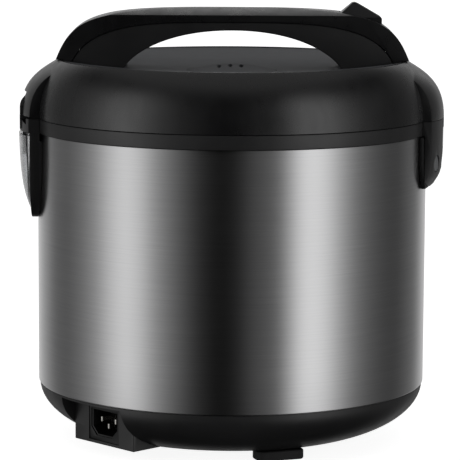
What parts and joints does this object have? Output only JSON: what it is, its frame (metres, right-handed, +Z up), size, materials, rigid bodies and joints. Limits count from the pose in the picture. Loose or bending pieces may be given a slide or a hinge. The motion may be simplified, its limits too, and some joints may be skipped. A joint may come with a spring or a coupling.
{
  "type": "rice cooker",
  "caption": "Round electric rice cooker with a steel body, a hinged lid with a carry handle and release button, an inner pot, a condensate cup and a mains inlet.",
  "frame": {"origin": "centre of the footprint, on the surface the feet stand on", "axes": "+Z up, -Y towards the control panel, +Y towards the lid hinge, +X to the right seen from the front"},
  "size_m": [0.2736, 0.2957, 0.3026],
  "materials": {
    "black_plastic": "moulded satin black",
    "dark_plastic": "moulded dark black",
    "gloss_black": "polished black",
    "rubber_black": "matt rubber",
    "brushed_steel": "horizontally brushed",
    "lid_grey": "satin grey",
    "pot_coating": "dark non-stick coating",
    "aluminium": "plain",
    "silicone": "translucent grey silicone",
    "clear_plastic": "clear polycarbonate",
    "display": "tinted window",
    "board": "circuit board",
    "spring_steel": "bright wire",
    "tinned_brass": "plated pins"
  },
  "bodies": {
    "body": {"base_housing": "black_plastic", "foot_left": "rubber_black", "foot_right": "rubber_black", "foot_rear_right": "rubber_black", "foot_rear_left": "rubber_black", "base_screw_1": "spring_steel", "base_screw_2": "spring_steel", "base_screw_3": "spring_steel", "inlet_socket": "dark_plastic", "inlet_pin_line": "tinned_brass", "inlet_pin_neutral": "tinned_brass", "inlet_pin_earth": "tinned_brass", "steel_sleeve": "brushed_steel", "upper_collar": "black_plastic", "hinge_housing": "black_plastic", "hinge_pin": "spring_steel", "hinge_spring": "spring_steel", "control_flange": "dark_plastic", "control_cover": "black_plastic", "display_window": "display", "control_board": "board", "heat_shield": "aluminium", "heating_plate": "aluminium", "heating_element": "spring_steel", "sensor_bracket": "aluminium", "sensor_spring": "spring_steel", "power_board": "board", "latch_catch": "spring_steel"},
    "lid": {"lid_shell": "black_plastic", "lid_panel": "lid_grey", "vent_tube": "silicone", "lid_liner": "dark_plastic", "lid_plate": "aluminium", "lid_gasket": "silicone", "plate_grommet": "silicone", "handle_upper": "black_plastic", "handle_lower": "dark_plastic", "button_spring": "spring_steel", "latch_pin": "spring_steel"},
    "release_button": {"release_button": "gloss_black"},
    "latch_lever": {"latch_lever": "dark_plastic"},
    "vent_cap": {"vent_cap": "lid_grey"},
    "condensate_cup": {"condensate_cup": "clear_plastic"},
    "inner_pot": {"inner_pot": "pot_coating"},
    "pot_sensor": {"pot_sensor": "aluminium"},
    "key_menu": {"key_menu": "lid_grey"},
    "key_timer": {"key_timer": "lid_grey"},
    "key_warm": {"key_warm": "lid_grey"},
    "key_start": {"key_start": "lid_grey"}
  },
  "joints": [
    {"name": "lid_hinge", "type": "hinge", "parent": "body", "child": "lid", "pos_m": [0, 0.137, 0.231], "axis": [-1, 0, 0], "range_deg": [0, 90]},
    {"name": "release_button_press", "type": "slide", "parent": "lid", "child": "release_button", "axis": [0, 0, -1], "range_m": [0, 0.004], "stiffness_N_per_m": 600, "springref_m": -0.001, "deforming": ["button_spring"]},
    {"name": "latch_lever_turn", "type": "hinge", "parent": "lid", "child": "latch_lever", "pos_m": [0, -0.134, 0.241], "axis": [-1, 0, 0], "range_deg": [0, 6.3]},
    {"name": "vent_cap_lift", "type": "slide", "parent": "lid", "child": "vent_cap", "axis": [0, 0, 1], "range_m": [0, 0.016]},
    {"name": "condensate_cup_slide", "type": "slide", "parent": "body", "child": "condensate_cup", "axis": [0, 0, -1], "range_m": [0, 0.06]},
    {"name": "inner_pot_turn", "type": "hinge", "parent": "body", "child": "inner_pot", "pos_m": [0, 0, 0.0757], "axis": [0, 0, 1], "continuous": true},
    {"name": "pot_sensor_press", "type": "slide", "parent": "body", "child": "pot_sensor", "axis": [0, 0, -1], "range_m": [0, 0.003], "stiffness_N_per_m": 400, "springref_m": -0.004, "deforming": ["sensor_spring"]},
    {"name": "key_menu_press", "type": "slide", "parent": "body", "child": "key_menu", "axis": [0.3584, 0.9336, 0], "range_m": [0, 0.0008], "stiffness_N_per_m": 1200},
    {"name": "key_timer_press", "type": "slide", "parent": "body", "child": "key_timer", "axis": [0.1219, 0.9925, 0], "range_m": [0, 0.0008], "stiffness_N_per_m": 1200},
    {"name": "key_warm_press", "type": "slide", "parent": "body", "child": "key_warm", "axis": [-0.1219, 0.9925, 0], "range_m": [0, 0.0008], "stiffness_N_per_m": 1200},
    {"name": "key_start_press", "type": "slide", "parent": "body", "child": "key_start", "axis": [-0.3584, 0.9336, 0], "range_m": [0, 0.0008], "stiffness_N_per_m": 1200}
  ],
  "couplings": [
    {"joint": "latch_lever_turn", "follows": "release_button_press", "rad_per_m": 27}
  ]
}
